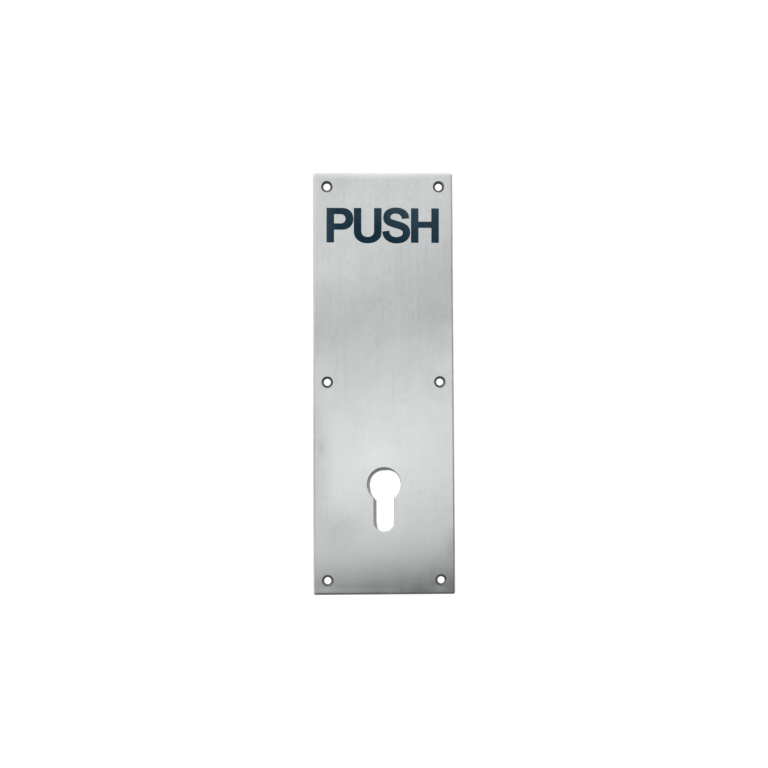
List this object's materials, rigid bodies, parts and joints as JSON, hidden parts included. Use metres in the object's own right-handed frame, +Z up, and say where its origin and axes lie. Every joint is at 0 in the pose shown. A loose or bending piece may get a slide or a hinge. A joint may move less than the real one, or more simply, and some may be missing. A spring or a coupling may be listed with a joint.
{
  "type": "door finger plate",
  "caption": "Flat satin steel door finger plate with countersunk screw holes at its edges and a keyhole-shaped cut-out low down for a profile lock cylinder.",
  "frame": {"origin": "middle of the back face, which lies on the door", "axes": "+Z up along the plate's length, +X to the right seen from the front, +Y out of the back face into the door"},
  "size_m": [0.075, 0.0015, 0.225],
  "materials": {
    "satin_steel": "satin, brushed up and down the plate",
    "letter_paint": "dark paint, slightly glossy"
  },
  "bodies": {
    "root": {"finger_plate": "satin_steel"}
  },
  "joints": []
}
